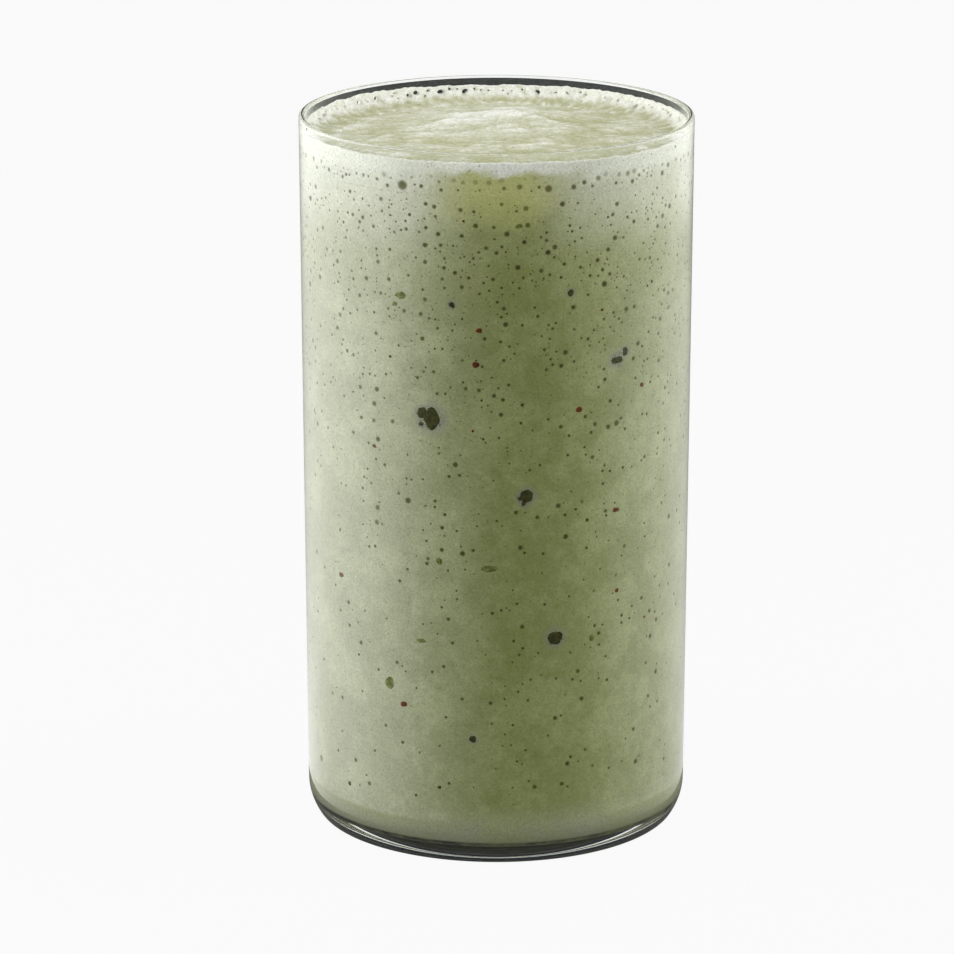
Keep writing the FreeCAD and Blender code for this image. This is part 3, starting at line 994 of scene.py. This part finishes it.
class MILKSHAKE_OT_froth(bpy.types.Operator):
    """Add the froth: its skin, the ragged film on the wall with its open bubbles, and the mounded top"""

    bl_idname = "milkshake.add_froth"
    bl_label = "Add Froth"

    def execute(self, context):
        drink = Drink(context.scene)
        shape, rng = FrothShape(drink), np.random.default_rng(SEED + 2)
        holes = shape.holes(rng)
        outer, outer_faces, outer_holes, hollow, flat = shape.outer_skin(holes, rng)
        inner, inner_faces, inner_holes, white = shape.inner_skin(holes, rng)
        # The two faces are seen from opposite sides, so a hole's rings run opposite ways round: each outer
        # point takes the height of its mate on the inner face, and the hole runs straight to the wall.
        steps = np.arange(RIM)
        mates = inner_holes[:, np.concatenate([-steps % RIM, RIM + (-steps - 1) % RIM])]
        outer[outer_holes.ravel(), 2] = inner[mates.ravel(), 2]

        # The top runs in from the film's foot, and the underside is flat.
        reach = shape.foot * (1 - np.arange(1, TOP_RINGS)[:, None] / TOP_RINGS)
        top_z, top_white = drink.top(reach * np.cos(drink.round), reach * np.sin(drink.round))
        middle_z, middle_white = drink.top(np.zeros(1), np.zeros(1))
        crest_r = drink.skin(shape.mean) - 0.5 * drink.f.film_thickness
        edge = drink.skin(drink.split)
        under_r = np.array([[0.4 * edge], [0.8 * edge], [edge - CRISP], [edge]])
        parts = [
            outer,
            inner,
            turned(drink.round, crest_r, shape.edge + 0.00006),
            turned(drink.round, reach, top_z),
            turned(drink.round, under_r, drink.split),
            [[0, 0, middle_z[0]], [0, 0, drink.split]],
        ]
        start = np.cumsum([0, *map(len, parts)])
        low, high = np.arange(ROUND), np.arange(ROUND, 2 * ROUND)  # a sheet's lowest and highest row
        under = [*loops(start[4], 4, ROUND), low]
        top = [start[1] + high, *loops(start[3], TOP_RINGS - 1, ROUND)]
        faces = [
            fan(start[5] + 1, under[0], False),
            chain(under),
            outer_faces,
            chain([high, start[2] + low, start[1] + low]),
            inner_faces + start[1],
            chain(top),
            fan(start[5], top[-1], True),
            *[strip(a, b) for a, b in zip(outer_holes[:, RIM:], start[1] + mates[:, RIM:])],
        ]
        under_white = np.zeros(4 * ROUND)
        # On the top, the foam field carries the painted light and shade of the top's whiteness.
        foam = [drink.foam(*flat.T), white, np.ones(ROUND), top_white.ravel(), under_white, middle_white]
        fields = {
            "hollow": hollow,
            "foam": np.clip(np.concatenate(foam), 0, 1),
            "wall": np.ones(len(outer)),
            "clearing": drink.clearing(flat[:, 0]),
            "haze": drink.haze(flat[:, 0]),
        }
        made = drink_material(context.scene, "froth", True)
        piece("froth_foam", np.vstack(parts), np.vstack(faces), made, "froth", "froth", fields)
        return {"FINISHED"}


class MILKSHAKE_OT_bits(bpy.types.Operator):
    """Add the blended-in bits that lie against the wall: scraps of skin, green bits and red-brown specks"""

    bl_idname = "milkshake.add_bits"
    bl_label = "Add Bits"

    def execute(self, context):
        drink, c = Drink(context.scene), context.scene.milkshake_finish
        rng = np.random.default_rng(SEED + 7)
        # Each kind's colour, the colour it is mottled with, its roughness and how deep its wrinkles are.
        finishes = {
            "skin": (c.skin, c.skin * 0.4, 0.5, 0.0001),
            "leaf": (c.leaf, c.drink, 0.5, 0.0001),
            "seed": (c.seed, c.seed * 0.35, 0.45, 0.00006),
        }
        for kind, finish in finishes.items():
            many, size = SCATTERED[kind]
            radius = size * np.exp(rng.normal(0, 0.35, many))
            across = rng.uniform(0.002, drink.width - 0.002, many)
            height = rng.uniform(drink.start + 0.002, drink.level - 0.006, many)
            wide, tall = radius * rng.uniform(0.8, 1.3, many), radius * rng.uniform(0.7, 1.1, many)
            named = [(drink.across(a), z, w, h) for a, z, w, h in SCRAPS[kind]]
            places = np.vstack([named, np.column_stack([across, height, wide, tall])])
            points, faces = self.scraps(drink, places, rng)
            piece(f"{kind}_bits", points, faces, bit_material(f"{kind}_bits", *finish), "green_shake")
        return {"FINISHED"}

    def scraps(self, drink, places, rng):
        """Flat uneven flakes against the wall: each is a lens of rings whose outline wanders by a few cosines,
        its outer face a hair proud of the drink's skin and its inner face sunk in the drink."""
        turn = np.arange(SCRAP_SIDES) * TURN / SCRAP_SIDES
        reach_at = np.array([0.5, 0.9, 1.0, 0.97, 0.5])
        inwards = np.array([-0.00005, -0.000045, -0.00003, 0.0001, 0.0002])
        many, rows, outer_z, inner_z = len(places), len(reach_at), -0.00005, 0.0002
        wander = 1.0
        for k in (2, 3, 4, 6, 9):
            size, phase = rng.uniform(-SCRAP_WANDER, SCRAP_WANDER, (many, 1)), rng.uniform(0, TURN, (many, 1))
            wander = wander + size * (2 / k) ** 0.5 * np.cos(k * turn + phase)
        reach = reach_at[None, :, None] * wander[:, None, :]
        u = places[:, 0, None, None] + places[:, 2, None, None] * reach * np.cos(turn)
        v = places[:, 1, None, None] + places[:, 3, None, None] * reach * np.sin(turn)
        depth = np.broadcast_to(inwards[None, :, None], u.shape)
        rings = drink.on_wall(np.column_stack([u.ravel(), v.ravel()]), depth.ravel())
        poles = [drink.on_wall(places[:, :2], depth) for depth in (outer_z, inner_z)]
        index = np.arange(many * rows * SCRAP_SIDES).reshape(many, rows, SCRAP_SIDES)
        ahead = np.roll(index, -1, axis=2)
        outer_pole = (index.size + np.arange(many))[:, None] + 0 * index[:, 0]
        inner_pole = outer_pole + many
        a, b, c, d = index[:, :-1], ahead[:, :-1], ahead[:, 1:], index[:, 1:]
        faces = [
            np.stack([outer_pole, index[:, 0], ahead[:, 0]], -1),
            np.stack([a, d, c], -1),
            np.stack([a, c, b], -1),
            np.stack([inner_pole, ahead[:, -1], index[:, -1]], -1),
        ]
        return np.vstack([rings, *poles]), np.vstack([f.reshape(-1, 3) for f in faces])


class MILKSHAKE_OT_stage(bpy.types.Operator):
    """Add the studio: pale floor, soft boxes on both sides, a top light, the dark card and the camera"""

    bl_idname = "milkshake.add_stage"
    bl_label = "Add Stage"

    def execute(self, context):
        scene, s, c = context.scene, context.scene.milkshake_studio, context.scene.milkshake_finish
        scene.view_settings.view_transform = "Standard"
        self.floor(c, s)

        # A low dark card goes all round, seen only through glass: it gives clear glass its dark edges.
        sides, away = 96, 0.33
        ring = turned(np.arange(sides) * TURN / sides, away, np.zeros(sides))
        wall, first = np.vstack([ring + [0, 0, 0.03], ring + [0, 0, 0.13]]), np.arange(sides)
        hidden = ("camera", "diffuse", "glossy", "shadow")
        self.card("dark_card", wall, strip(first, sides + first), hidden, colour=c.card)

        boxes = (("left_box", -84, 0.50, s.left_glow), ("right_box", 90, 0.46, s.right_glow))
        for name, degrees, wide, glow in boxes:
            a, away, tall = math.radians(degrees), 0.48, 0.60
            middle = np.array([away * math.sin(a), -away * math.cos(a), 0])
            aside = np.array([math.cos(a), math.sin(a), 0]) * wide
            hidden = ("camera", "shadow", "glossy")
            self.soft_box(name, middle - aside / 2, aside, np.array([0, 0, tall]), glow, hidden)
        shine = s.room_shine
        self.coved_cloth("left_cloth", shine, middle=-95, half=75, low=1.1, growth=8.5, strip=(-128, 0.45))
        self.coved_cloth("right_cloth", shine, middle=104, half=64, low=0.7, growth=5, strip=(128, 0.6))
        corner, aside, up = np.array([-0.25, 0.05, 0.75]), np.array([0, 0.4, 0]), np.array([0.5, 0, 0])
        self.soft_box("top_box", corner, aside, up, s.top_glow, ("camera", "shadow"))

        self.world(scene, s)
        view = bpy.data.cameras.new("camera")
        view.lens, view.sensor_width, view.clip_start = 190.2, 36.0, 0.01
        camera = bpy.data.objects.new("camera", view)
        camera.location = (0.0, -1.0, 0.3532)
        camera.rotation_euler = Euler((math.radians(90 - 15.75), 0, math.radians(0.227)))
        scene.collection.objects.link(camera)
        scene.camera = camera
        return {"FINISHED"}

    def floor(self, c, s):
        """A wide pale square. It looks white, and shows only the room's shine in glossy surfaces."""
        made, n = material("studio_floor")
        path = n.add("LightPath").outputs
        seen = n.larger(path["Is Camera Ray"], path["Is Transmission Ray"])
        glow = n.add("Emission", {"Strength": n.larger(seen, s.room_shine)})
        pale = n.add("BsdfDiffuse", {"Color": c.floor})
        share = n.times(n.larger(seen, path["Is Glossy Ray"]), 0.93)
        n.surface(n.add("MixShader", {0: share, 1: pale.outputs[0], 2: glow.outputs[0]}))
        side = 30.0
        square = np.array([[-side, -side, 0], [side, -side, 0], [side, side, 0], [-side, side, 0]])
        piece("studio_floor", square, np.array([[0, 1, 2], [0, 2, 3]]), made)

    def world(self, scene, s):
        """The room: a backdrop where it is seen, its shine in glossy surfaces, and its even light elsewhere."""
        world = bpy.data.worlds.new("studio")
        scene.world = world
        world.use_nodes = True
        n = Nodes(world.node_tree)
        path = n.add("LightPath").outputs
        seen = n.larger(path["Is Camera Ray"], path["Is Transmission Ray"])
        room = n.minus(s.room_glow, n.times(path["Is Glossy Ray"], s.room_glow - s.room_shine))
        strength = n.larger(n.times(seen, s.backdrop), room)
        glow = n.add("Background", {"Color": (1.0, 1.0, 1.0), "Strength": strength})
        n.add("OutputWorld", {"Surface": glow.outputs[0]})

    def card(self, name, points, triangles, hidden, glow=None, colour=(1.0, 1.0, 1.0)):
        """A card or cloth hidden from some kinds of ray, which glows evenly or by its point field."""
        cloth, n = material(name)
        strength = 1.0 if glow is None else n.field("glow")
        n.surface(n.add("Emission", {"Color": colour, "Strength": strength}))
        card = piece(name, points, triangles, cloth, fields={} if glow is None else {"glow": glow.ravel()})
        for ray in hidden:
            setattr(card, f"visible_{ray}", False)

    def soft_box(self, name, corner, aside, up, glow, hidden):
        """A glowing cloth, brightest at its middle: point (u, v) = corner + u aside + v up. Its glow rises over
        u = 0 to 0.35, falls over u = 0.65 to 1, and rises over v = -0.12 to 0.04."""
        u, v = np.meshgrid(np.linspace(0, 1, 13), np.linspace(0, 1, 13))
        points = corner + u.ravel()[:, None] * aside + v.ravel()[:, None] * up
        soft = rise(u, 0, 0.35) * rise(u, 1, 0.65) * rise(v, -0.12, 0.04)
        self.card(name, points, patch(13, 13), hidden, glow * soft)

    def coved_cloth(self, name, shine, middle, half, low, growth, strip):
        """A cloth that only shines in glossy surfaces: it leans away from the tumbler's foot, round its side.
        At angle a and height h its radius is 0.047 + h, and above the room's shine its glow is
        cos^2(90 (a - middle) / half) (low + growth h), where h counts up to 0.07. Above a height of 0.1 the
        strip = (place, glow) adds glow cos^2(90 (a - place) / 30)."""
        degrees, h = np.meshgrid(np.linspace(middle - half, middle + half, 61), np.linspace(0.0008, 0.45, 31))
        a, r = np.radians(degrees), 0.047 + h
        points = np.stack([r * np.sin(a), -r * np.cos(a), h], -1).reshape(-1, 3)
        around = np.cos(math.pi / 2 * (degrees - middle) / half) ** 2 * (low + growth * np.minimum(h, 0.07))
        place, glow = strip
        high_up = np.cos(math.pi / 2 * np.clip((degrees - place) / 30, -1, 1)) ** 2 * rise(h, 0.094, 0.106)
        hidden = ("camera", "diffuse", "transmission", "shadow")
        self.card(name, points, patch(31, 61), hidden, shine + around + glow * high_up)


class MILKSHAKE_PT_panel(bpy.types.Panel):
    """Sizes, colours and the steps that build the milkshake"""

    bl_label = "Green Milkshake"
    bl_idname = "MILKSHAKE_PT_panel"
    bl_space_type = "VIEW_3D"
    bl_region_type = "UI"
    bl_category = "Milkshake"

    def draw(self, context):
        for label, name, kind in SETTINGS:
            box = self.layout.box()
            box.label(text=label)
            for key in kind.__annotations__:
                box.prop(getattr(context.scene, name), key)
        for step in STEPS:
            self.layout.operator(step.bl_idname)


SETTINGS = (
    ("Tumbler", "milkshake_tumbler", TumblerSizes),
    ("Drink", "milkshake_drink", DrinkSizes),
    ("Froth", "milkshake_froth", FrothSizes),
    ("Colours", "milkshake_finish", Finish),
    ("Studio", "milkshake_studio", Studio),
)
STEPS = (MILKSHAKE_OT_tumbler, MILKSHAKE_OT_shake, MILKSHAKE_OT_froth, MILKSHAKE_OT_bits, MILKSHAKE_OT_stage)


def register():
    for _, name, kind in SETTINGS:
        bpy.utils.register_class(kind)
        setattr(bpy.types.Scene, name, PointerProperty(type=kind))
    for kind in (*STEPS, MILKSHAKE_PT_panel):
        bpy.utils.register_class(kind)


def unregister():
    for kind in (MILKSHAKE_PT_panel, *reversed(STEPS)):
        bpy.utils.unregister_class(kind)
    for _, name, kind in reversed(SETTINGS):
        delattr(bpy.types.Scene, name)
        bpy.utils.unregister_class(kind)


def main():
    register()
    for step in STEPS:
        family, name = step.bl_idname.split(".")
        getattr(getattr(bpy.ops, family), name)()


if __name__ == "__main__":
    main()
